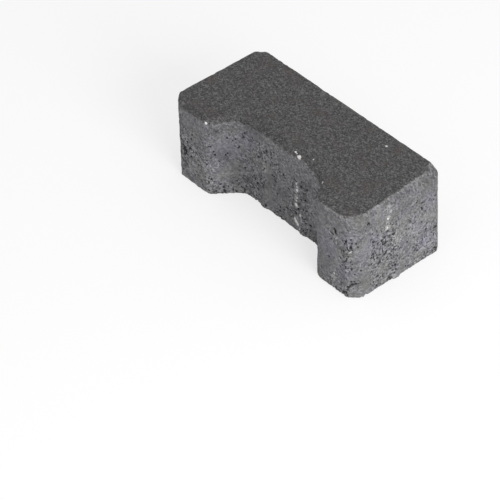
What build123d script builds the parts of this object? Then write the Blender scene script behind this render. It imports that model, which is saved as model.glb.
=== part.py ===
from build123d import *

import os
from math import radians, tan

# Edge stone of a double-T paving pattern: concrete pressed in one mould, one solid piece.
# It lies on its bed with the wearing face up. X runs along its length, +Y points to its straight
# back, Z is up, and the origin is the middle of the underside. Sizes are in millimetres.

# Body, between its flat faces
body_length = 197  # length and width are those of the underside
body_width = 88
body_height = 70
side_draft = 1  # degrees that every upright face leans in, so that the mould lifts off
corner_cut = 7.5  # the four upright corners are cut at 45 degrees
corner_round = 5  # radius that softens both edges of each cut
arris_round = 2  # radius along the edge of the wearing face

# Recess in the front, which takes the flange ends of two stones of the next row
flange_face = 39.5  # from each end of the body to the mouth of the recess
recess_depth = 21.5
cheek_run = 16.5  # length of the body that each sloping cheek takes
flange_round = 12  # radius where the flange face turns into the cheek
root_round = 13  # radius where the cheek turns into the recess floor

# Spacer nibs: low round ribs that keep the joint to the next stone open
nib_width = 9
nib_proud = 1.5
nib_height = 54
nib_run_out = 9  # height over which the top of a nib fades into the face
floor_nib_spacing = 42  # between the two nibs on the recess floor
end_nib_y = -4  # the nib on each end stands a little nearer the front
nib_overrun = 0.4  # how far the run-out goes on behind the face

end_x = body_length / 2
back_y = body_width / 2
front_y = -back_y
floor_y = front_y + recess_depth
mouth_x = end_x - flange_face
floor_x = mouth_x - cheek_run

# A nib is a slice of an upright round bar, sunk so that only nib_proud of it shows. The bar gets
# thinner upwards by as much as the faces lean, so the nib stands equally proud all the way.
lean = tan(radians(side_draft))
nib_straight = nib_height - nib_run_out
nib_radius = (nib_width**2 / 4 + nib_proud**2) / (2 * nib_proud)
nib_sink = nib_radius - nib_proud
nib_shoulder_radius = nib_radius - nib_straight * lean
nib_top_radius = nib_sink - nib_overrun - nib_height * lean
nib_axes = [
    (end_x - nib_sink, end_nib_y),
    (nib_sink - end_x, end_nib_y),
    (-floor_nib_spacing / 2, floor_y + nib_sink),
    (floor_nib_spacing / 2, floor_y + nib_sink),
]

with BuildPart() as paving_stone:
    # Plan of the stone: one half from the recess floor round to the back, then its mirror image
    with BuildSketch() as plan:
        with BuildLine() as outline:
            FilletPolyline(
                (0, floor_y),
                (floor_x, floor_y),
                (mouth_x, front_y),
                (end_x - corner_cut, front_y),
                (end_x, front_y + corner_cut),
                (end_x, back_y - corner_cut),
                (end_x - corner_cut, back_y),
                (0, back_y),
                radius=[root_round, flange_round] + [corner_round] * 4,
            )
            mirror(about=Plane.YZ)
        make_face()
    extrude(amount=body_height, taper=side_draft)
    fillet(edges().group_by(Axis.Z)[-1], radius=arris_round)

    # Nibs stand on the bed and end below the wearing face
    with Locations(*nib_axes):
        Cone(nib_radius, nib_shoulder_radius, nib_straight, align=(Align.CENTER, Align.CENTER, Align.MIN))
    with Locations(Plane.XY.offset(nib_straight)):
        with Locations(*nib_axes):
            Cone(nib_shoulder_radius, nib_top_radius, nib_run_out, align=(Align.CENTER, Align.CENTER, Align.MIN))

paving_stone.part.label = "paving_stone"

os.makedirs("parts", exist_ok=True)
export_step(paving_stone.part, "parts/paving_stone.step")
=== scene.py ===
import itertools
import math

import bpy
import numpy as np
from mathutils import Matrix, Vector, kdtree
from mathutils.bvhtree import BVHTree


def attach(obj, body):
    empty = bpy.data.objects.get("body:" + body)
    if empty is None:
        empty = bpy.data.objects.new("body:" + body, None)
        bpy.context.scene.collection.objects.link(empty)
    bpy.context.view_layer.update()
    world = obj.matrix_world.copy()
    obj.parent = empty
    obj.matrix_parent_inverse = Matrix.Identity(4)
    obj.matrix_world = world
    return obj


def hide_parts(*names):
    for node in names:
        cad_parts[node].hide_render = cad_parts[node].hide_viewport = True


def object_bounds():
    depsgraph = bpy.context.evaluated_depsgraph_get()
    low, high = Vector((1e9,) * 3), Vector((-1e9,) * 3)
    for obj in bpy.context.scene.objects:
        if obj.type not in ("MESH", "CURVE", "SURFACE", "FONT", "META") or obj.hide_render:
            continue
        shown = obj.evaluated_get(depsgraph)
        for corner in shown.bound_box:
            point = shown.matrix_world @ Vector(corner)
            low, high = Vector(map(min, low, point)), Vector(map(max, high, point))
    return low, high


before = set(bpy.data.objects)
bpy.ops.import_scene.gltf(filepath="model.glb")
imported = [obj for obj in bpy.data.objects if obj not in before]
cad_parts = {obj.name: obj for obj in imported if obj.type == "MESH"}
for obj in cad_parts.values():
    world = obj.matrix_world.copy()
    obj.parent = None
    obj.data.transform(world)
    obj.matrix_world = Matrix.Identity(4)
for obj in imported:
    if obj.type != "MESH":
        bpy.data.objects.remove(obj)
cadLow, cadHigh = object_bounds()
cadNode = "paving_stone"
mm = 0.001
print("frame loaded:", [round(v / mm, 2) for v in cadHigh - cadLow], "mm")


# Camera

viewpoint = {
    "azimuth": 51.47,               # degrees round the stone, 0 looks at the recess side square on
    "elevation": 41.69,             # degrees above the floor
    "roll": -2.73,                  # degrees, the slight tilt of the picture
    "distance": 1.6172,             # metres to the point below
    "lookAt": (0.00408, -0.05789, -0.00408),
    "lens": 163.14,                 # mm
    "sensorWidth": 36,              # mm
    "clipAt": (0.05, 20),           # metres, nearest and furthest that it sees
    "pictureSize": 500,             # pixels each way
}


def makeCamera(settings):
    azimuth = math.radians(settings["azimuth"])
    elevation = math.radians(settings["elevation"])
    roll = math.radians(settings["roll"])
    level = math.cos(elevation)
    back = Vector((math.sin(azimuth) * level, -math.cos(azimuth) * level, math.sin(elevation)))
    right = Vector((math.cos(azimuth), math.sin(azimuth), 0))
    up = back.cross(right)
    turned = Matrix.Rotation(roll, 3, back)
    axes = Matrix((turned @ right, turned @ up, back)).transposed().to_4x4()
    data = bpy.data.cameras.new("pictureCamera")
    data.lens = settings["lens"]
    data.sensor_width = settings["sensorWidth"]
    data.clip_start, data.clip_end = settings["clipAt"]
    camera = bpy.data.objects.new("pictureCamera", data)
    camera.matrix_world = Matrix.Translation(Vector(settings["lookAt"]) + back * settings["distance"]) @ axes
    bpy.context.scene.collection.objects.link(camera)
    bpy.context.scene.camera = camera
    bpy.context.view_layer.update()
    return camera


camera = makeCamera(viewpoint)
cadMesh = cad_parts[cadNode].data
cadTree = BVHTree.FromPolygons([v.co for v in cadMesh.vertices], [p.vertices for p in cadMesh.polygons])


def placeSeenAt(column, row):
    # the point of the plain stone, in mm, that the picture shows at this pixel
    half = viewpoint["pictureSize"] / 2
    scale = camera.data.sensor_width / camera.data.lens / viewpoint["pictureSize"]
    ray = Vector(((column - half) * scale, (half - row) * scale, -1))
    turn = camera.matrix_world.to_3x3()
    hit = cadTree.ray_cast(camera.matrix_world.translation, turn @ ray)[0]
    return None if hit is None else np.array(hit) / mm


# Numeric helpers

def smoothStep(values, low, high):
    # 0 below low, 1 above high, and a soft climb in between
    t = np.clip((values - low) / (high - low), 0, 1)
    return t * t * (3 - 2 * t)


def latticeNoise(points, cell, seed):
    # soft random field from -1 to 1: one value for each corner of a lattice, blended in between
    side = 61           # values each way, repeated past that
    lattice = np.random.default_rng(seed).uniform(-1, 1, (side, side, side))
    scaled = points / np.asarray(cell, float)
    base = np.floor(scaled).astype(int)
    part = scaled - base
    part = part * part * (3 - 2 * part)
    total = np.zeros(len(points))
    for corner in itertools.product((0, 1), repeat=3):
        share = np.prod(np.where(corner, part, 1 - part), axis=1)
        i, j, k = ((base + corner) % side).T
        total += share * lattice[i, j, k]
    return total


def layeredNoise(points, cell, seed, layers=2):
    # each further layer is half the size and half the strength of the one before
    cell = np.asarray(cell, float)
    total = sum(latticeNoise(points, cell / 2**n, seed + n) / 2**n for n in range(layers))
    return total / (2 - 2 ** (1 - layers))


def warped(points, amount, cell, seed):
    # the points moved about by a soft random field
    return points + amount * np.column_stack([layeredNoise(points, cell, seed + 10 * n) for n in range(3)])


def pointTree(points):
    tree = kdtree.KDTree(len(points))
    for index, place in enumerate(points):
        tree.insert(Vector(place), index)
    tree.balance()
    return tree


def blendedBetween(points, places, values):
    # each point takes the value of the places that are nearest to it
    away = np.linalg.norm(points[:, None, :2] - np.array(places, float)[None], axis=2)
    weight = 1 / (away + 1) ** 3
    return (weight * np.array(values, float)).sum(axis=1) / weight.sum(axis=1)


# The stone

stone = {
    "gridStep": 0.66,               # mm between the points of the mesh before it is thinned
    "mostTriangles": 196000,        # after it is thinned
    "nibProud": 1.5,                # mm, the spacer nibs, as in the solid
    "lean": 1.22,                   # mm that each side leans in over the whole height, as in the solid
    "cornerCut": 7.5,               # mm, as in the solid
    "faceGrain": 0.10,              # mm, how deep the grain of each kind of surface goes
    "facingGrain": 0.20,
    "coreGrain": 0.42,
    "bedGrain": 0.5,
    "grainOffset": 0.45,            # above 0, more than half of the surface is sunk between the grains
    "dragDepth": 0.12,              # mm, the upright marks that the mould leaves
    "swellDepth": 0.12,             # mm, the slow unevenness of the walls and the bed
    "facingDepth": 15,              # mm of finer concrete under the wearing face
    "seamWander": 3.5,              # mm that the lower end of that facing wanders
    "seamBlend": 2.5,               # mm each way over which it turns into the core
    "smearRange": (0.12, 0.5),      # values of the smear field between which open paste turns smooth
    "crowdRange": (-0.35, 0.4),     # values of the crowd field between which rare pores turn crowded
    "wornInset": (3.0, 8.8),        # mm that the worn end arris takes off the top, front and back
    "wornDrop": (2.4, 4.8),         # mm that it goes down the end, front and back
    "slopeGrain": 0.3,              # mm, the grain of that slope
    "faceOverWear": 0.45,           # mm that the dark face goes on over the worn slope
    "wearSharpness": 1.5,           # how sharply the dark face ends there
    "arrisWear": 0.4,               # mm that the ragged edge of the top loses at most
    "bottomWear": 0.22,             # mm that each of two sizes of crumbs takes off the bottom edges at most
    "bottomReach": 2.6,             # mm above the bed to which they crumble
    "bottomPores": 3,               # mm above the bed that gets extra pores
    "limeDepth": 0.4,               # mm, the shallow pits that hold the white marks
    "raggedRim": 1.1,               # mm that the edge of the dark face wanders
    "rimReach": 8,                  # mm across that edge over which the mesh tells its distance
    "lineWidth": 0.75,              # mm, half the width of the pale line along the edge
    "lineOffset": 0.2,              # mm that the line lies outside it
    "crowding": 1.4,                # extra chance of a pore where the picture shows a crowd; 1 doubles it
    "poreWander": (0.5, 1.6, 60),   # mm that the rims of pores wander, mm between the bends, and the seed
    "poreSeed": 11,
    "pores": {                      # scattered: how many, and smallest and largest half width in mm
        "largeCore": (260, 0.75, 1.25),
        "smallCore": (1600, 0.45, 0.9),
        "facing": (170, 0.4, 0.65),
        "bottomEdge": (200, 0.45, 0.9),
        "bed": (480, 0.5, 1.3),
    },
    "fields": {                     # random fields: size of a patch in mm, seed, and layers of noise
        "seam": ((22, 22, 8), 300, 2),
        "smear": ((16, 16, 30), 50, 2),
        "grain": (3.0, 20, 3),
        "swell": (7.5, 30, 2),
        "drag": ((2.2, 2.2, 26), 40, 2),
        "crowd": (14, 70, 2),
        "crumbs": (5, 80, 3),
        "fineCrumbs": (2.2, 85, 2),
        "arris": (3.2, 90, 2),
        "slope": (3.0, 95, 3),
        "rim": (3.4, 100, 3),
    },
}

# How far inside the edge the dark wearing face ends, in mm; below zero it goes on down the side.
# The places are X and Y in mm
faceRimAndRootShade = {
    (-93, -40): -8.0, (-85, -43): -5.6, (-73, -43): -4.0, (-60, -43): -4.0, (-50, -32): -4.2,
    # By the recess's right root, X 33 to 45, the face colour runs up to 12 mm down the wall: painted shade in
    # that concave corner
    (-43, -24): -4.4, (-30, -21): -3.4, (0, -21): -2.6, (22, -21): -1.8, (33, -21): -3.4, (36, -21): -8.0,
    (40, -22): -12.0, (45, -26): -7.0, (50, -32): -1.2, (55, -39): -0.6, (61, -43): -0.4, (70, -43): -0.4,
    (80, -43): -0.2, (87, -43): 0.6, (93, -40): 5.5, (95, -34): 5.0, (97, -26): 2.4, (97, -10): 0.8,
    (97, 30): 1.0, (60, 43): 0.4, (0, 43): -0.8, (-60, 43): 0.2, (-97, 0): -1.0,
}

# How clearly the pale line along that edge shows, from 0 to 1: laid-open sand, and a painted highlight where
# the arris catches the light, strongest at the lit right end
paleLine = {
    (-87, -43): 0.1, (-60, -43): 0.3, (-43, -24): 0.3, (0, -21): 0.2, (47, -29): 0.2, (61, -43): 0.6,
    (74, -43): 1.0, (90, -42): 1.0, (97, -20): 1.0, (97, 20): 0.6, (0, 43): 0.3, (-97, 0): 0.3,
}

# Pores and cracks that stand out in the picture: pixel column and row, and half width in mm
seenPores = {
    "leftFlange": [
        (191.8, 135.6, 0.9), (226.9, 138, 0.8), (182, 130, 0.8), (182.2, 145, 2.0), (183.2, 147.2, 1.8),
        (184.6, 149.2, 1.4), (185.6, 151.4, 1.2), (195, 156, 0.8), (197.5, 160.5, 0.7), (213.6, 152, 0.7),
        (232.5, 141.5, 0.6), (241, 154.5, 0.7), (224, 187.5, 0.9), (245.1, 160, 0.7),
    ],
    "recess": [
        (251.5, 177, 1.0), (254.5, 179, 0.9), (254.6, 185.4, 0.7), (246, 186.7, 0.7), (262, 187.5, 0.8),
        (274, 185.8, 0.7), (265.4, 162.5, 0.8), (270, 165.8, 0.9), (278.8, 172, 0.8), (282.9, 175.4, 1.1),
        (286.7, 208.5, 1.3), (283.5, 210, 0.9), (289.7, 210.3, 1.1), (295.3, 213.3, 1.5), (305, 201.3, 0.8),
        (322, 179.6, 0.9), (310.4, 226.3, 1.0), (265.4, 205.4, 1.0), (290.8, 198.3, 0.7), (310, 180, 0.6),
    ],
    "rightFlange": [
        (334.3, 230.2, 1.5), (334.5, 232.8, 1.3), (347.5, 250.7, 0.8), (342.6, 251, 0.8), (345.2, 261.4, 0.8),
        (346.8, 259, 0.7), (339.8, 257.3, 0.7), (328.6, 256.3, 0.8), (321.6, 251, 0.7), (345, 268.9, 0.7),
        (330.3, 273.1, 0.7), (331.7, 278.7, 0.9),
    ],
    "frontCorner": [
        (358, 247.9, 0.8), (356.3, 244.3, 0.7), (350.3, 262.8, 0.7), (352, 265, 0.7), (351.4, 270.6, 0.7),
    ],
    "cornerCrack": [
        (345.3, 292.6, 1.3), (347.2, 290.4, 0.9), (347.6, 287.9, 1.2), (350, 286.8, 0.9),
        (352.2, 285.2, 1.2), (354.3, 284.6, 0.7), (356.2, 284.2, 1.0), (358.4, 284.2, 0.6),
        (360.2, 283.6, 0.8), (349.3, 291.6, 0.6), (353.4, 289, 0.6), (357.4, 287.8, 0.6),
    ],
    "end": [
        (368.9, 224.4, 1.2), (373.1, 245.4, 0.7), (374.9, 248.2, 0.8), (374.9, 251.7, 0.8),
        (372.8, 255.2, 0.9), (372, 258.6, 0.9), (382.9, 245.2, 1.0), (380.5, 262.2, 1.0), (389.6, 264.3, 0.7),
        (397, 255.2, 0.8), (389.9, 254.2, 0.8), (400.4, 248.3, 0.9), (415.4, 250, 0.9), (406, 266.2, 0.9),
        (408.5, 265.8, 0.8), (396.3, 269.6, 0.8), (377.3, 276.5, 0.9), (361.2, 271, 0.9), (416.9, 203.2, 0.8),
        (418.2, 201, 0.7), (403.8, 235.8, 0.8), (424.6, 255.4, 0.7), (390.6, 269.2, 0.7), (435.6, 227.4, 1.5),
    ],
}

# White marks of lime: pixel column and row, and half width in mm
seenLime = {
    "recessStreak": [
        (296, 184, 0.8), (296.4, 187.5, 0.8), (296.6, 190.5, 1.2), (296.2, 195.3, 1.2), (296.5, 198.4, 0.8),
        (296, 201.2, 1.0), (295.6, 205, 1.5), (298, 208.2, 1.0), (299.2, 215.5, 1.1), (294.6, 218.5, 1.1),
        (295.6, 221.8, 1.4), (297.4, 224.8, 1.3), (299, 229, 1.1),
    ],
    "arrisChip": [
        (298, 157.4, 1.5), (299.6, 156.8, 1.3), (299.4, 159, 1.1), (295.9, 151.6, 0.8), (296.8, 153.2, 0.6),
    ],
    "topSpecks": [(321.4, 183, 1.3), (322.2, 182, 1.0), (386.4, 145.9, 0.9), (313.5, 159, 0.6)],
    "flangeSpeck": [(205.7, 123.6, 1.1)],
    "endMarks": [(388.6, 219.2, 0.8), (387.6, 228, 0.7)],
    "bottomSpecks": [(333.8, 273.8, 1.0), (333.5, 280, 0.7)],
}

# Soft zones of closed paste, crowded pores, tint, lighter or darker colour, painted light and lime: pixel
# column and row, and radius in mm
seenSmooth = [
    (222, 148, 17), (226, 172, 13), (200, 185, 9), (278, 195, 9), (312, 182, 7), (312, 204, 7), (314, 222, 7),
    (332, 222, 9), (355, 262, 5), (362, 224, 8), (245, 148, 6), (325, 262, 4), (380, 215, 7), (405, 246, 8),
    (290, 170, 5), (406, 214, 9), (420, 224, 8), (432, 212, 7),
]
seenCrowded = [
    (350, 264, 12), (376, 262, 12), (334, 264, 7), (346, 284, 7), (368, 280, 8), (186, 150, 8),
    (196, 160, 5), (256, 184, 6), (289, 211, 5), (420, 250, 6), (346, 248, 6),
]
seenOlive = [(362, 222, 7), (366, 283, 7), (400, 232, 7), (200, 175, 7), (384, 268, 6)]
seenViolet = [
    (330, 246, 8), (345, 240, 6), (228, 150, 8), (375, 240, 7), (430, 200, 8), (425, 240, 7), (248, 140, 7),
    (345, 275, 6),
]
# Painted light, with some paler paste: lifts the recess's right root, its concave corners and the flanges out
# of their shade
paleToneAndPaintedLight = [
    (393, 248, 6), (425, 245, 7), (305, 224, 6), (310, 212, 6), (260, 160, 5), (314, 186, 4), (314, 204, 6),
    (315, 222, 7), (262, 152, 4), (268, 172, 5), (208, 168, 7), (209, 180, 6), (340, 262, 6), (338, 284, 6),
    (185, 138, 4), (192, 150, 6), (333, 240, 8), (398, 240, 8), (412, 232, 5), (296, 190, 4), (297, 222, 6),
    (306, 233, 8), (190, 166, 6),
]
seenDull = [
    (232, 128, 7), (245, 126, 6), (258, 134, 5), (228, 155, 9), (240, 178, 7), (268, 185, 6), (366, 228, 8),
    (272, 178, 7), (282, 192, 6), (238, 168, 6), (216, 130, 7), (405, 206, 8), (392, 216, 5), (390, 200, 5),
    (402, 192, 5), (430, 186, 8), (268, 127, 5), (280, 137, 4), (256, 119, 5), (364, 280, 5), (424, 194, 4),
]
seenLimeHaze = [
    (389.7, 198, 1.2), (389.9, 206, 1.4), (389.8, 212.5, 1.8), (389.2, 217, 2), (387.8, 228, 2.2),
    (388.4, 223, 1.4), (296.3, 188, 1.8), (296.2, 197, 2), (295.6, 205, 2), (296.4, 221, 2.4),
    (393.4, 274.8, 1.3), (394.4, 278.4, 1.2), (350.7, 252.8, 1.1), (333.6, 277, 2),
]

# Wide chips out of the edges: pixel column and row, radius and depth in mm
seenChips = [
    (434.6, 169.6, 4.2, 1.7), (182.4, 146, 3.0, 2.0), (434, 249.6, 2.8, 1.3), (390, 277.6, 2.4, 0.6),
    (351, 294.6, 2.6, 0.4), (422, 256.8, 2.0, 0.5), (371.5, 288.6, 2.2, 0.4),
]


# What the mesh tells the material at each point, from 0 to 1
zoneNames = [
    "wearingFace", "paleLine", "hollow", "lime", "core", "smooth", "olive", "violet", "shade", "limeHaze",
]


def evenGridMesh(source, step):
    # the plain stone again, with points an even distance apart all over
    holder = bpy.data.objects.new("evenGrid", source.copy())
    bpy.context.scene.collection.objects.link(holder)
    weld = holder.modifiers.new("weld", "WELD")
    weld.merge_threshold = 0.01 * mm
    remesh = holder.modifiers.new("evenGrid", "REMESH")
    remesh.mode = "VOXEL"
    remesh.voxel_size = step * mm
    made = bpy.data.meshes.new_from_object(holder.evaluated_get(bpy.context.evaluated_depsgraph_get()))
    bpy.data.objects.remove(holder)
    made.materials.clear()
    return made


def thinnedMesh(source, mostTriangles):
    # flat stretches give up points first, so the pores keep theirs
    holder = bpy.data.objects.new("thinning", source)
    bpy.context.scene.collection.objects.link(holder)
    thinning = holder.modifiers.new("thinning", "DECIMATE")
    thinning.ratio = mostTriangles / (2 * len(source.polygons))  # two triangles for each square
    made = bpy.data.meshes.new_from_object(holder.evaluated_get(bpy.context.evaluated_depsgraph_get()))
    bpy.data.objects.remove(holder)
    return made


def readPoints(mesh):
    points = np.empty(len(mesh.vertices) * 3, np.float32)
    mesh.vertices.foreach_get("co", points)
    return points.reshape(-1, 3).astype(float) / mm


def readNormals(mesh):
    normals = np.empty(len(mesh.vertices) * 3, np.float32)
    mesh.vertex_normals.foreach_get("vector", normals)
    return normals.reshape(-1, 3).astype(float)


def writePoints(mesh, points):
    mesh.vertices.foreach_set("co", (points * mm).astype(np.float32).ravel())
    mesh.update()


def writeValue(mesh, name, values):
    layer = mesh.attributes.new(name, "FLOAT", "POINT")
    layer.data.foreach_set("value", np.clip(values, 0, 1).astype(np.float32))


def spotFields(tree, count, spots):
    # nearness: 1 in the middle of a spot, 0.5 at its rim, 0 a radius outside; depth: the pit there in mm
    pitRim = 0.42       # nearness at which the pit starts
    pitWall = 0.3       # further nearness by which it is at its full depth
    deepness = 1.45     # that depth, in radii
    nearness = np.zeros(count)
    depth = np.zeros(count)
    for place, radius in spots:
        for near, index, distance in tree.find_range(Vector(place), 2 * radius):
            share = 1 - distance / (2 * radius)
            nearness[index] = max(nearness[index], share)
            pit = deepness * radius * min(1, max(0, (share - pitRim) / pitWall))
            depth[index] = max(depth[index], pit)
    return nearness, depth


def chippedOff(points, chips):
    # depth in mm of the wide chips, each a shallow bowl
    total = np.zeros(len(points))
    for column, row, radius, deep in chips:
        place = placeSeenAt(column, row)
        if place is not None:
            share = np.linalg.norm(points - place, axis=1) / radius
            total = np.maximum(total, deep * np.maximum(0, 1 - share ** 2))
    return total


def softZones(points, marks):
    # 1 in the middle of each marked zone, fading out over its radius
    total = np.zeros(len(points))
    for column, row, radius in marks:
        place = placeSeenAt(column, row)
        if place is not None:
            away = np.linalg.norm(points - place, axis=1)
            total = np.maximum(total, np.exp(-(away / radius) ** 2))
    return total


def seenSpots(groups):
    # place in mm and radius of each mark that falls on the stone
    marks = [mark for group in groups.values() for mark in group]
    spots = [(placeSeenAt(column, row), radius) for column, row, radius in marks]
    return [spot for spot in spots if spot[0] is not None]


def wornEndArris(points, settings, low, high):
    # height in mm above the slope that the right end's arris is worn to; it widens towards the back
    across = (points[:, 1] - low[1]) / (high[1] - low[1])
    inset = np.interp(across, (0, 1), settings["wornInset"])
    drop = np.interp(across, (0, 1), settings["wornDrop"])
    cutStart = high[1] - settings["lean"] - settings["cornerCut"]
    topEnd = high[0] - settings["nibProud"] - settings["lean"]
    outline = topEnd - np.maximum(0, np.abs(points[:, 1]) - cutStart)
    length = np.hypot(inset, drop)
    above = ((points[:, 0] - outline + inset) * drop + (points[:, 2] - high[2]) * inset) / length
    return above, np.column_stack([drop, np.zeros(len(points)), inset]) / length[:, None]


def insideEdge(points, up, high):
    # how far a point of the top lies inside the edge, in mm; below zero, how far down the side it is
    facesUp = 0.7       # how far up the top's own points face at least
    rimBand = 4         # mm of wall under the top that stand for its edge
    edgeDepth = 0.6     # mm below the top at which the edge turns into the side
    onTop = up > facesUp
    rim = points[(np.abs(up) <= facesUp) & (points[:, 2] > high[2] - rimBand)]
    tree = pointTree(rim * (1, 1, 0))
    inside = points[:, 2] - high[2] + edgeDepth
    inside[onTop] = [tree.find(Vector((x, y, 0)))[2] for x, y in points[onTop, :2]]
    return inside


def makeStone(settings):
    mesh = evenGridMesh(cadMesh, settings["gridStep"])
    low, high = (np.array(corner) / mm for corner in (cadLow, cadHigh))
    points = readPoints(mesh)
    normals = readNormals(mesh)
    count = len(points)
    field = {name: layeredNoise(points, *facts) for name, facts in settings["fields"].items()}

    # zones, by where a point lies and how far up it faces: 1 on the top, 0 on a wall, -1 on the bed
    up = normals[:, 2]
    wall = 1 - smoothStep(np.abs(up), 0.5, 0.9)
    topFace = smoothStep(up, 0.5, 0.95)
    bed = smoothStep(-up, 0.5, 0.95)
    depth = high[2] - points[:, 2]
    seam = settings["facingDepth"] + settings["seamWander"] * field["seam"]
    facing = 1 - smoothStep(depth, seam - settings["seamBlend"], seam + settings["seamBlend"])
    core = wall * (1 - facing)
    smear = smoothStep(field["smear"], *settings["smearRange"])
    smear = np.maximum(smear, softZones(points, seenSmooth))

    # grain, and faint upright marks where the mould was drawn off the wall
    grainDepth = topFace * settings["faceGrain"] + bed * settings["bedGrain"]
    grainDepth = grainDepth + wall * facing * settings["facingGrain"]
    grainDepth = grainDepth + core * settings["coreGrain"] * (1 - 0.6 * smear)
    sunk = grainDepth * np.maximum(0, settings["grainOffset"] + field["grain"])
    sunk = sunk + wall * settings["dragDepth"] * (0.5 + 0.5 * field["drag"])
    sunk = sunk + (wall + bed) * settings["swellDepth"] * (0.5 + 0.5 * field["swell"])

    # pores: the ones that the picture shows, and scattered ones, which smooth paste closes
    rng = np.random.default_rng(settings["poreSeed"])
    tree = pointTree(warped(points, *settings["poreWander"]))
    crowded = 1 + settings["crowding"] * softZones(points, seenCrowded)
    crowd = smoothStep(field["crowd"], *settings["crowdRange"]) * (1 - 0.85 * smear)
    chances = {
        "largeCore": core * (0.12 + crowd) * (1 - 0.6 * smear) * crowded,
        "smallCore": core * (0.2 + crowd) * (1 - 0.8 * smear) * crowded,
        "facing": wall * facing * (1 - 0.8 * smear),
        "bottomEdge": wall * (points[:, 2] < settings["bottomPores"]) * (1 - 0.8 * smear),
        "bed": bed,
    }
    spots = seenSpots(seenPores)
    for kind, (number, smallest, largest) in settings["pores"].items():
        chance = chances[kind]
        chosen = rng.choice(count, number, replace=False, p=chance / chance.sum())
        sizes = smallest + (largest - smallest) * rng.random(number) ** 2  # squared, so most are small
        spots += [(points[i], size) for i, size in zip(chosen, sizes)]
    # the nearness to each pore, which the material paints dark as painted shade inside it
    hollow, pitDepth = spotFields(tree, count, spots)
    lime = spotFields(tree, count, seenSpots(seenLime))[0]
    sunk = sunk + pitDepth + settings["limeDepth"] * smoothStep(lime, 0.4, 0.6)
    sunk = sunk + chippedOff(points, seenChips)

    # edges: a ragged arris above, crumbled edges below
    nearBottom = wall * (1 - smoothStep(points[:, 2], 0, settings["bottomReach"])) * (1 - 0.7 * smear)
    sunk = sunk + nearBottom * settings["bottomWear"] * smoothStep(field["crumbs"], -0.1, 0.5)
    sunk = sunk + nearBottom * settings["bottomWear"] * smoothStep(field["fineCrumbs"], 0.0, 0.5)
    nearArris = smoothStep(up, 0.1, 0.4) * (1 - smoothStep(up, 0.9, 0.99))
    sunk = sunk + nearArris * settings["arrisWear"] * smoothStep(field["arris"], -0.1, 0.6)
    above, slope = wornEndArris(points, settings, low, high)
    moved = points - normals * sunk[:, None]
    cut = wornEndArris(moved, settings, low, high)[0] + settings["slopeGrain"] * field["slope"]
    moved = moved - slope * np.maximum(0, cut)[:, None]
    writePoints(mesh, np.clip(moved, low, high))

    # what the material reads, by the names in zoneNames
    rim = insideEdge(points, up, high) - blendedBetween(points, list(faceRimAndRootShade), list(faceRimAndRootShade.values()))
    rim = np.minimum(rim, settings["wearSharpness"] * (settings["faceOverWear"] - above))
    rim = rim + settings["raggedRim"] * field["rim"]
    line = blendedBetween(points, list(paleLine), list(paleLine.values()))
    zones = {
        "wearingFace": 0.5 + rim / settings["rimReach"],
        "paleLine": line * np.exp(-((rim + settings["lineOffset"]) / settings["lineWidth"]) ** 2),
        "hollow": hollow,
        "lime": lime,
        "core": core + bed,
        "smooth": smear,
        "olive": softZones(points, seenOlive),
        "violet": softZones(points, seenViolet),
        "shade": 0.5 + 0.5 * (softZones(points, paleToneAndPaintedLight) - softZones(points, seenDull)),
        "limeHaze": softZones(points, seenLimeHaze),
    }
    for name in zoneNames:
        writeValue(mesh, name, zones[name])
    mesh = thinnedMesh(mesh, settings["mostTriangles"])
    writePoints(mesh, np.clip(readPoints(mesh), low, high))  # thinning moves a few points out by a hair
    mesh.shade_smooth()
    print("stone mesh:", len(mesh.polygons), "triangles, with", [layer.name for layer in mesh.attributes])
    piece = bpy.data.objects.new("pressed_stone", mesh)
    bpy.context.scene.collection.objects.link(piece)
    return piece


# Materials

def linearColour(hexValue):
    # sRGB hex to the linear values that a shader takes
    parts = [int(hexValue[i:i + 2], 16) / 255 for i in (1, 3, 5)]
    return (*[v / 12.92 if v <= 0.04045 else ((v + 0.055) / 1.055) ** 2.4 for v in parts], 1)


def addNode(tree, kind, settings):
    # a setting is a property, an input socket by its name or number, or the stops of a colour ramp;
    # a node or an output given there is linked, and a hex colour is turned to linear.
    # Mix takes its share at 0 and blends numbers 2 and 3, or colours 6 and 7;
    # MapRange takes its value at 0 and turns the range 1 to 2 into the range 3 to 4
    node = tree.nodes.new("ShaderNode" + kind)
    for key, value in settings.items():
        if isinstance(value, bpy.types.Node):
            value = next(output for output in value.outputs if output.enabled)
        elif isinstance(value, str) and value.startswith("#"):
            value = linearColour(value)
        if isinstance(value, bpy.types.NodeSocket):
            tree.links.new(value, node.inputs[key])
        elif key == "stops":
            fillRamp(node.color_ramp, value)
        elif isinstance(key, str) and hasattr(node, key):
            setattr(node, key, value)
        else:
            node.inputs[key].default_value = value
    return node


def fillRamp(ramp, stops):
    while len(ramp.elements) < len(stops):
        ramp.elements.new(0.5)
    for element, (position, hexValue) in zip(ramp.elements, stops.items()):
        element.position = position
        element.color = linearColour(hexValue)


def newMaterial(name):
    material = bpy.data.materials.new(name)
    material.use_nodes = True
    material.node_tree.nodes.clear()
    return material, material.node_tree


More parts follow.
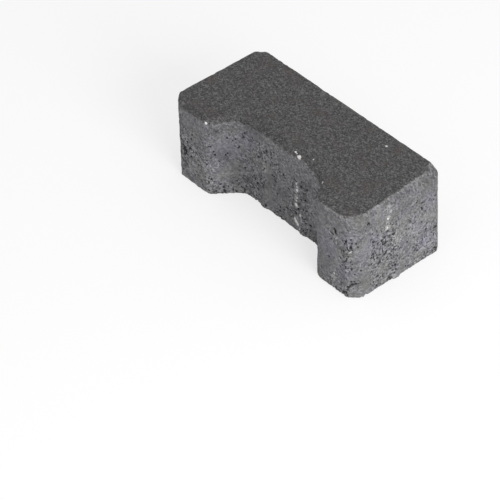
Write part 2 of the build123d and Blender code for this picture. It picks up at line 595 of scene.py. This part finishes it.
concrete = {
    "faceDark": "#232324",          # anthracite wearing face: pigmented mortar with fine sand
    "faceMid": "#474748",
    "faceLight": "#7e7d7c",
    "faceWarm": "#4e4443",          # faint rust-brown clouds of pigment
    "sideDark": "#3a393d",          # sides: cement-grey paste over the aggregate
    "sideMid": "#737276",
    "sideLight": "#a6a5a8",
    "sideOlive": "#777869",         # patches where the paste is thin
    "sideViolet": "#78768a",        # patches of richer paste
    # painted shade: the dark inside pores and cracks
    "hollow": "#232326",
    "speck": "#cfcdca",             # pale grains of sand
    "lime": "#e8e7e5",
    "faceGrainSize": 1.0,           # mm; real sand is about 0.5 mm, drawn coarser to show in the picture
    "sideGrainSize": 1.4,           # mm, the small grit of the core
    "gritSize": 3.2,                # mm, the largest grit, with cracks of paste round it
    "poreSpacing": 2.2,             # mm between the smallest pores
    "poreWidest": 1.05,             # mm, the half width of the largest of them
    "speckSpacing": 2.1,            # mm between pale grains
    "speckWidest": 0.52,            # mm, half the width of the largest of them
    "cloudSize": 14,                # mm across a patch of colour
    "swirlSize": 1.6,               # mm between the bends of pores and cracks
    "swirl": 1.8,                   # mm that they are moved at most
    "edgeSize": 3.5,                # mm between the bends in the edge of the dark face
    "sandSize": 1.1,                # mm, the sand laid open along that edge
    "hazeSize": 1.6,                # mm between the wisps of thin lime
    "finestGrit": 0.7,              # mm, in the bump alone
    "unevenness": 0.4,              # mm that the bump stands for, before its strength
    "calmShare": 0.4,               # how much fainter the grain is in the smooth zones, at most
    "shadeShare": 0.3,              # how much lighter or darker a soft zone gets
    "faceRoughness": 0.84,          # the face is pressed smooth and is a little less dull than the sides
    "sideRoughness": 0.92,
}


def pressedConcrete(look):
    # pressed concrete: dry and matt, a fine dark wearing face, paler grainy sides with open pores
    material, tree = newMaterial("pressedConcrete")
    place = addNode(tree, "TexCoord", {}).outputs["Object"]
    zone = {name: addNode(tree, "Attribute", {"attribute_name": name}).outputs["Fac"] for name in zoneNames}

    # the place moved about a little, so that no pore or crack is regular
    swirl = addNode(tree, "TexNoise", {"Scale": 1 / (look["swirlSize"] * mm), "Vector": place})
    bent = addNode(tree, "VectorMath", {"operation": "MULTIPLY_ADD", 0: swirl.outputs["Color"],
                                        1: (look["swirl"] * mm,) * 3, 2: place})

    def grains(size, smaller):
        # grains of two sizes, each with a tone of its own
        tones = []
        for spacing in (size, size * smaller):
            cells = addNode(tree, "TexVoronoi", {"Scale": 1 / (spacing * mm), "Vector": place})
            tones.append(addNode(tree, "SeparateColor", {0: cells.outputs["Color"]}))
        return addNode(tree, "Mix", {0: 0.4, 2: tones[0], 3: tones[1]})

    def spots(spacing, share, widest):
        # separate marks of all sizes up to that half width in mm, in that share of the cells;
        # the factor at the end makes their rims sharp
        cells = addNode(tree, "TexVoronoi", {"Scale": 1 / (spacing * mm), "Vector": bent})
        chance = addNode(tree, "SeparateColor", {0: cells.outputs["Color"]}).outputs[1]
        size = addNode(tree, "MapRange", {0: chance, 1: 0.0, 2: share, 3: widest / spacing, 4: 0.0})
        reach = addNode(tree, "Math", {"operation": "SUBTRACT", 0: size, 1: cells.outputs["Distance"]})
        return addNode(tree, "Math", {"operation": "MULTIPLY", "use_clamp": True, 0: reach, 1: 9.0})

    def ragged(field, size, amount, low, high):
        # 0 below and 1 above an edge in a field, which a noise of that size in mm makes ragged
        noise = addNode(tree, "TexNoise", {"Scale": 1 / (size * mm), "Detail": 3.0, "Roughness": 0.6,
                                           "Vector": place})
        shift = addNode(tree, "Math", {"operation": "MULTIPLY_ADD", 0: noise, 1: amount, 2: -amount / 2})
        moved = addNode(tree, "Math", {"operation": "ADD", 0: field, 1: shift})
        return addNode(tree, "MapRange", {0: moved, 1: low, 2: high})

    # wearing face: sand grains of uneven tone, brown clouds
    size = look["faceGrainSize"]
    mottle = addNode(tree, "TexNoise", {"Scale": 1 / (2.5 * size * mm), "Detail": 4.0, "Roughness": 0.75,
                                        "Vector": place})
    faceTone = addNode(tree, "Mix", {0: 0.42, 2: grains(size, smaller=0.7), 3: mottle})
    face = addNode(tree, "ValToRGB", {0: faceTone, "stops": {
        0.22: look["faceDark"], 0.5: look["faceMid"], 0.8: look["faceLight"]}})
    clouds = addNode(tree, "TexNoise", {"Scale": 1 / (look["cloudSize"] * mm), "Vector": place})
    warmth = addNode(tree, "MapRange", {0: clouds, 1: 0.5, 2: 0.68, 3: 0.0, 4: 0.45})
    face = addNode(tree, "Mix", {"data_type": "RGBA", 0: warmth, 6: face, 7: look["faceWarm"]})

    # sides: grit of uneven tone, with olive-grey and violet-grey patches
    size = look["sideGrainSize"]
    mottle = addNode(tree, "TexNoise", {"Scale": 1 / (2.2 * size * mm), "Detail": 4.0, "Roughness": 0.75,
                                        "Vector": place})
    sideTone = addNode(tree, "Mix", {0: 0.5, 2: grains(size, smaller=0.6), 3: mottle})
    calm = addNode(tree, "MapRange", {0: zone["core"], 3: 0.4, 4: 0.0})
    calm = addNode(tree, "Math", {"operation": "MAXIMUM", 0: calm, 1: zone["smooth"]})
    calm = addNode(tree, "Math", {"operation": "MULTIPLY", 0: calm, 1: look["calmShare"]})
    sideTone = addNode(tree, "Mix", {0: calm, 2: sideTone, 3: 0.5})
    side = addNode(tree, "ValToRGB", {0: sideTone, "stops": {
        0.24: look["sideDark"], 0.5: look["sideMid"], 0.78: look["sideLight"]}})
    clouds = addNode(tree, "TexNoise", {"Scale": 1 / (0.8 * look["cloudSize"] * mm), "Vector": place})
    thinPaste = addNode(tree, "MapRange", {0: clouds, 1: 0.5, 2: 0.66, 3: 0.0, 4: 0.24})
    seenThin = addNode(tree, "Math", {"operation": "MULTIPLY", 0: zone["olive"], 1: 0.32})
    olive = addNode(tree, "Math", {"operation": "MAXIMUM", 0: thinPaste, 1: seenThin})
    side = addNode(tree, "Mix", {"data_type": "RGBA", 0: olive, 6: side, 7: look["sideOlive"]})
    violet = addNode(tree, "Math", {"operation": "MULTIPLY", 0: zone["violet"], 1: 0.28})
    side = addNode(tree, "Mix", {"data_type": "RGBA", 0: violet, 6: side, 7: look["sideViolet"]})

    # where the dark face ends, and where its colour paints the shade in the recess's right root; its edge
    # wanders both finely and broadly
    faceField = addNode(tree, "TexNoise", {"Scale": 1 / (look["edgeSize"] * mm), "Detail": 3.0,
                                           "Roughness": 0.6, "Vector": place})
    faceField = addNode(tree, "Math", {"operation": "MULTIPLY_ADD", 0: faceField, 1: 0.4, 2: -0.2})
    faceField = addNode(tree, "Math", {"operation": "ADD", 0: faceField, 1: zone["wearingFace"]})
    isFace = ragged(faceField, size=1.1, amount=0.8, low=0.47, high=0.53)
    onSide = addNode(tree, "Math", {"operation": "SUBTRACT", 0: 1.0, 1: isFace})
    colour = addNode(tree, "Mix", {"data_type": "RGBA", 0: isFace, 6: side, 7: face})

    # pores too small for the mesh and cracks of paste round the grit, painted dark as the shade inside them;
    # few in the facing and the smooth zones
    pores = spots(look["poreSpacing"], share=0.8, widest=look["poreWidest"])
    pores = addNode(tree, "Math", {"operation": "MULTIPLY", 0: pores, 1: 0.9})
    gritEdge = addNode(tree, "TexVoronoi", {"feature": "DISTANCE_TO_EDGE", "Vector": bent,
                                            "Scale": 1 / (look["gritSize"] * mm)})
    broken = addNode(tree, "TexNoise", {"Scale": 1 / (1.3 * look["gritSize"] * mm), "Vector": place})
    broken = addNode(tree, "MapRange", {0: broken, 1: 0.46, 2: 0.6, 3: 0.0, 4: 0.12})
    cracks = addNode(tree, "Math", {"operation": "SUBTRACT", 0: broken, 1: gritEdge})
    cracks = addNode(tree, "Math", {"operation": "MULTIPLY", "use_clamp": True, 0: cracks, 1: 14.0})
    cracks = addNode(tree, "Math", {"operation": "MULTIPLY", 0: cracks, 1: 0.4})
    inCore = addNode(tree, "MapRange", {0: zone["core"], 3: 0.25, 4: 1.0})
    isRough = addNode(tree, "MapRange", {0: zone["smooth"], 3: 1.0, 4: 0.2})
    openSide = addNode(tree, "Math", {"operation": "MULTIPLY", 0: inCore, 1: isRough})
    openSide = addNode(tree, "Math", {"operation": "MULTIPLY", 0: openSide, 1: onSide})
    fine = addNode(tree, "Math", {"operation": "MAXIMUM", 0: pores, 1: cracks})
    fine = addNode(tree, "Math", {"operation": "MULTIPLY", 0: fine, 1: openSide})

    # and the pores that the mesh has, painted dark as well: painted shade that deepens their pits
    hollow = ragged(zone["hollow"], size=0.8, amount=0.35, low=0.42, high=0.58)
    hollow = addNode(tree, "Math", {"operation": "MULTIPLY", 0: hollow, 1: 0.92})
    dark = addNode(tree, "Math", {"operation": "MAXIMUM", "use_clamp": True, 0: fine, 1: hollow})
    colour = addNode(tree, "Mix", {"data_type": "RGBA", 0: dark, 6: colour, 7: look["hollow"]})

    # pale sand: loose grains everywhere, and a line of it along the arris that is also a painted highlight
    howClear = addNode(tree, "MapRange", {0: isFace, 3: 0.55, 4: 0.25})
    loose = spots(look["speckSpacing"], share=0.5, widest=look["speckWidest"])
    loose = addNode(tree, "Math", {"operation": "MULTIPLY", 0: loose, 1: howClear})
    sand = grains(look["sandSize"], smaller=0.7)
    line = addNode(tree, "MapRange", {0: sand, 1: 0.35, 2: 0.7, 3: 0.0, 4: 0.6})
    line = addNode(tree, "Math", {"operation": "MULTIPLY", 0: line, 1: zone["paleLine"]})
    pale = addNode(tree, "Math", {"operation": "MAXIMUM", 0: loose, 1: line})
    pale = addNode(tree, "Mix", {0: dark, 2: pale, 3: 0.0})
    paleShare = addNode(tree, "Math", {"operation": "MULTIPLY", 0: pale, 1: 0.6})
    colour = addNode(tree, "Mix", {"data_type": "RGBA", 0: paleShare, 6: colour, 7: look["speck"]})

    # soft zones painted lighter or darker: the lighter ones mostly painted light that lifts the shaded recess
    # root, concave corners and flanges, the darker ones a darker colour
    lighter = addNode(tree, "MapRange", {0: zone["shade"], 3: 1 - look["shadeShare"],
                                         4: 1 + look["shadeShare"]})
    colour = addNode(tree, "VectorMath", {"operation": "SCALE", 0: colour, "Scale": lighter})

    # lime: solid white marks, and a thin haze round them
    haze = addNode(tree, "TexNoise", {"Scale": 1 / (look["hazeSize"] * mm), "Detail": 3.0, "Roughness": 0.7,
                                      "Vector": place})
    haze = addNode(tree, "MapRange", {0: haze, 1: 0.42, 2: 0.6, 3: 0.07, 4: 0.55})
    haze = addNode(tree, "Math", {"operation": "MULTIPLY", 0: haze, 1: zone["limeHaze"]})
    lime = ragged(zone["lime"], size=0.9, amount=0.4, low=0.44, high=0.56)
    lime = addNode(tree, "Math", {"operation": "MAXIMUM", 0: lime, 1: haze})
    colour = addNode(tree, "Mix", {"data_type": "RGBA", 0: lime, 6: colour, 7: look["lime"]})

    # relief too fine for the mesh: grit, pale grains standing out, pores sunk in
    grit = addNode(tree, "TexNoise", {"Scale": 1 / (look["finestGrit"] * mm), "Detail": 3.0,
                                      "Roughness": 0.7, "Vector": place})
    height = addNode(tree, "Mix", {0: 0.4, 2: sideTone, 3: grit})
    height = addNode(tree, "Math", {"operation": "MULTIPLY_ADD", 0: pale, 1: 0.3, 2: height})
    height = addNode(tree, "Math", {"operation": "MULTIPLY_ADD", 0: dark, 1: -0.9, 2: height})
    bump = addNode(tree, "Bump", {"Strength": 0.5, "Distance": look["unevenness"] * mm, "Height": height})
    roughness = addNode(tree, "MapRange", {0: isFace, 3: look["sideRoughness"], 4: look["faceRoughness"]})
    shader = addNode(tree, "BsdfPrincipled", {"IOR": 1.5, "Base Color": colour, "Roughness": roughness,
                                              "Normal": bump})
    addNode(tree, "OutputMaterial", {"Surface": shader})
    return material


# Studio

studio = {
    "floorSize": 6.0,               # metres
    "floorColour": "#e6e6e6",       # matt white board, as the lamps see it
    "floorSeen": 0.42,              # share of the board's own light in the picture
    "floorFill": 0.64,              # even white that is added to it there
    "skyStrength": 0.56,            # even light from all round
    "keyPower": 18.5,               # watts
    "keySize": 0.9,                 # metres
    "keyPlace": (1.44, -0.28, 0.64),  # metres, off the right end
}


def cameraShare(tree):
    # 1 for what the camera sees straight, mirrored or through glass, 0 for light that falls on the stone
    path = addNode(tree, "LightPath", {})
    share = path.outputs["Is Camera Ray"]
    for name in ("Is Glossy Ray", "Is Transmission Ray"):
        share = addNode(tree, "Math", {"operation": "MAXIMUM", 0: share, 1: path.outputs[name]})
    return share


def matWhiteBoard(settings):
    # matt painted board: pale enough to vanish, and it keeps a soft shadow
    material, tree = newMaterial("mattWhiteBoard")
    seen = cameraShare(tree)
    colour = addNode(tree, "Mix", {"data_type": "RGBA", 0: seen, 6: settings["floorColour"],
                                   7: (settings["floorSeen"],) * 3 + (1,)})
    surface = addNode(tree, "BsdfDiffuse", {"Color": colour})
    fill = addNode(tree, "Math", {"operation": "MULTIPLY", 0: seen, 1: settings["floorFill"]})
    glow = addNode(tree, "Emission", {"Strength": fill})
    both = addNode(tree, "AddShader", {0: surface, 1: glow})
    addNode(tree, "OutputMaterial", {"Surface": both})
    return material


def makeStudio(settings):
    half = settings["floorSize"] / 2
    corners = [(-half, -half, 0), (half, -half, 0), (half, half, 0), (-half, half, 0)]
    mesh = bpy.data.meshes.new("floor")
    mesh.from_pydata(corners, [], [(0, 1, 2, 3)])
    floor = bpy.data.objects.new("floor", mesh)
    floor.data.materials.append(matWhiteBoard(settings))
    bpy.context.scene.collection.objects.link(floor)

    world = bpy.data.worlds.new("softSky")
    world.use_nodes = True
    tree = world.node_tree
    tree.nodes.clear()
    strength = addNode(tree, "Mix", {0: cameraShare(tree), 2: settings["skyStrength"], 3: 1.0})
    sky = addNode(tree, "Background", {"Color": (1, 1, 1, 1), "Strength": strength})
    addNode(tree, "OutputWorld", {"Surface": sky})
    bpy.context.scene.world = world

    lamp = bpy.data.lights.new("softBox", "AREA")
    lamp.shape = "SQUARE"
    lamp.size = settings["keySize"]
    lamp.energy = settings["keyPower"]
    key = bpy.data.objects.new("softBox", lamp)
    key.location = settings["keyPlace"]
    key.rotation_mode = "QUATERNION"
    key.rotation_quaternion = (-Vector(settings["keyPlace"])).to_track_quat("-Z", "Y")
    bpy.context.scene.collection.objects.link(key)


piece = makeStone(stone)
piece.data.materials.append(pressedConcrete(concrete))
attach(piece, "root")
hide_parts(cadNode)
print("stone made")

makeStudio(studio)
bpy.context.scene.view_settings.view_transform = "Standard"
print("studio made")
